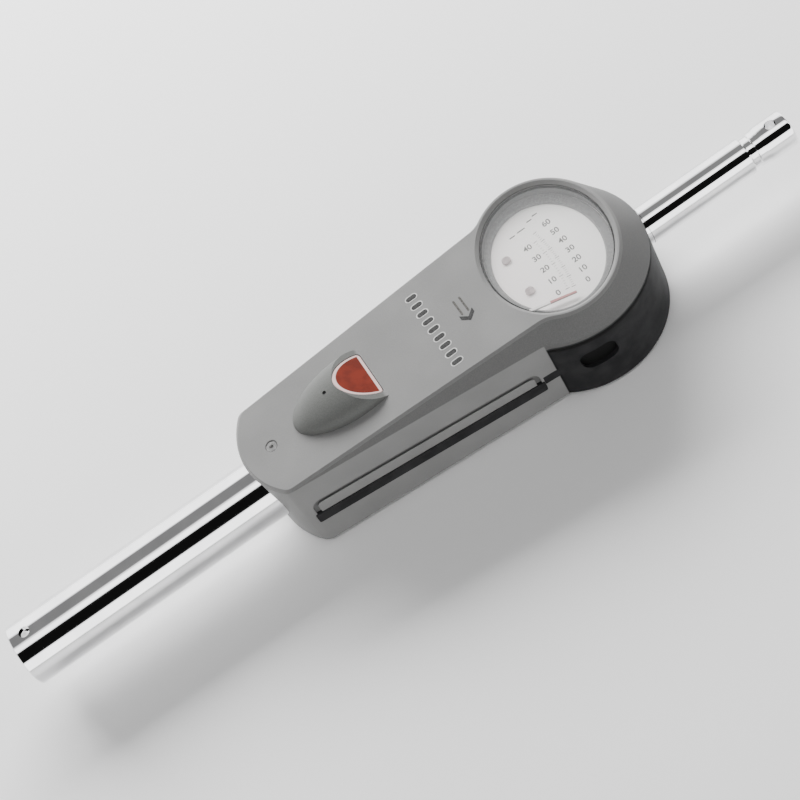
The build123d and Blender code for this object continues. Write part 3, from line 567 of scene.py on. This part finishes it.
# direction of each scale's zero, and the way from one numeral to the next, in degrees
OUTER = dict(first=-12.1, spacing=20.2 / 6)
INNER = dict(first=-12.0, spacing=17.8 / 4)
numbers("outer_numbers", ["0", "10", "20", "30", "40", "50", "60"], 114.8 * MM, **OUTER)
numbers("inner_numbers", ["0", "10", "20", "30", "40"], 100 * MM, **INNER)
marks = scale(7, 107.6 * MM, major_long=1.1, minor_long=0.6, **OUTER)
marks += scale(5, 104.6 * MM, major_long=1.0, minor_long=0.5, **INNER)
piece_of_prisms("scale_marks", marks, on_dial, DIAL_PRINT, ink)

# plain dashes stand where the dial has its headings
dashes = ((81.5, 20.6, 1.6), (86.6, 21.0, 2.3), (92.4, 23.0, 1.5), (96.2, 24.2, 1.5))
header = [capsule(x * MM, y * MM, half * MM, 0.35 * MM) for x, y, half in dashes]
piece_of_prisms("scale_headers", header, on_dial, DIAL_PRINT, ink)


# ---- floor, light, camera ----
FLOOR_HALF = 4
floor_corners = [(x * FLOOR_HALF, y * FLOOR_HALF, 0)
                 for x, y in ((-1, -1), (1, -1), (1, 1), (-1, 1))]
floor_mesh = bpy.data.meshes.new("floor")
floor_mesh.from_pydata(floor_corners, [], [(0, 1, 2, 3)])
floor = bpy.data.objects.new("floor", floor_mesh)
bpy.context.scene.collection.objects.link(floor)
floor.location.z = cad_low.z - 0.2 * MM
floor_look = Look("floor", (0.96, 0.96, 0.96), rough=0.9, Specular_IOR_Level=0.0)
floor_look.colour(floor_look.mottle(floor_look.noise(0.5), (0.955,) * 3, (0.965,) * 3))
floor.data.materials.append(floor_look.mat)

TILT = math.radians(36)                 # camera's lean from straight down, towards -Y
TURN = math.atan2(0.570, 0.8215)        # how far the tool is turned in the picture
TO_CAMERA = Vector((0, -math.sin(TILT), math.cos(TILT)))
DOWN = Vector((0, -math.cos(TILT), -math.sin(TILT)))    # down the picture before the turn
ALONG = Vector(X)

MIRRORED_STRENGTH = 3.6                 # surroundings as glossy surfaces see them
LIGHTING_STRENGTH = 1.75                # and as they light matt ones
# (degrees round the tool's axis, level of the surroundings there): 0 is towards the
# camera and + is down the picture, with one grey and one black band for the chrome
BANDS = ((-180, 1.0), (-88, 1.0), (-80, 0.075), (-44, 0.075), (-34, 1.0), (-22, 1.0),
         (-18, 0.002), (19, 0.002), (23, 1.0), (180, 1.0))


def studio_world():
    """White surroundings with dark bands that run along the tool."""
    world = bpy.data.worlds.new("studio")
    bpy.context.scene.world = world
    world.use_nodes = True
    tree = world.node_tree
    direction = tree.nodes.new("ShaderNodeTexCoord").outputs["Generated"]
    dots = []
    for towards in (DOWN, TO_CAMERA):
        product = tree.nodes.new("ShaderNodeVectorMath")
        product.operation = "DOT_PRODUCT"
        tree.links.new(direction, product.inputs[0])
        product.inputs[1].default_value = towards
        dots.append(product.outputs["Value"])
    angle = tree.nodes.new("ShaderNodeMath")
    angle.operation = "ARCTAN2"
    tree.links.new(dots[0], angle.inputs[0])
    tree.links.new(dots[1], angle.inputs[1])
    turn = tree.nodes.new("ShaderNodeMapRange")
    turn.inputs["From Min"].default_value = -math.pi
    turn.inputs["From Max"].default_value = math.pi
    tree.links.new(angle.outputs[0], turn.inputs["Value"])
    ramp = tree.nodes.new("ShaderNodeValToRGB")
    stops = ramp.color_ramp.elements
    while len(stops) < len(BANDS):
        stops.new(0.5)
    for stop, (degrees_, level) in zip(stops, BANDS):
        stop.position = (degrees_ + 180) / 360
        stop.color = (level, level, level, 1)
    tree.links.new(turn.outputs[0], ramp.inputs[0])
    background = tree.nodes["Background"]
    tree.links.new(ramp.outputs[0], background.inputs["Color"])
    path = tree.nodes.new("ShaderNodeLightPath")
    strength = tree.nodes.new("ShaderNodeMapRange")
    strength.inputs["To Min"].default_value = LIGHTING_STRENGTH
    strength.inputs["To Max"].default_value = MIRRORED_STRENGTH
    tree.links.new(path.outputs["Is Glossy Ray"], strength.inputs["Value"])
    tree.links.new(strength.outputs[0], background.inputs["Strength"])


studio_world()


def softbox(name, place, target, size, power):
    """Rectangular area light that faces a target."""
    light = bpy.data.lights.new(name, "AREA")
    light.shape = "RECTANGLE"
    light.size, light.size_y = size
    light.energy = power
    lamp = bpy.data.objects.new(name, light)
    bpy.context.scene.collection.objects.link(lamp)
    lamp.location = place
    aim_line = Vector(target) - Vector(place)
    lamp.rotation_euler = aim_line.to_track_quat("-Z", "Y").to_euler()
    lamp.visible_glossy = False


softbox("key_light", place=(0.05, 1.1, 0.72), target=(0, 0, 0.03), size=(1.5, 0.6),
        power=52)

camera_data = bpy.data.cameras.new("camera")
camera = bpy.data.objects.new("camera", camera_data)
bpy.context.scene.collection.objects.link(camera)
bpy.context.scene.camera = camera
CAMERA_DISTANCE = 0.961
camera_data.sensor_width = 36
camera_data.lens = 91.9
# the point of the tool at the middle of the picture, and the picture's right and up
aim = Vector((-4.85 * MM, 0, AXIS_Z)) + DOWN * 1.8 * MM
right = ALONG * math.cos(TURN) + DOWN * math.sin(TURN)
up = ALONG * math.sin(TURN) - DOWN * math.cos(TURN)
camera.matrix_world = Matrix.Translation(aim + TO_CAMERA * CAMERA_DISTANCE) @ Matrix(
    (right, up, TO_CAMERA)).transposed().to_4x4()
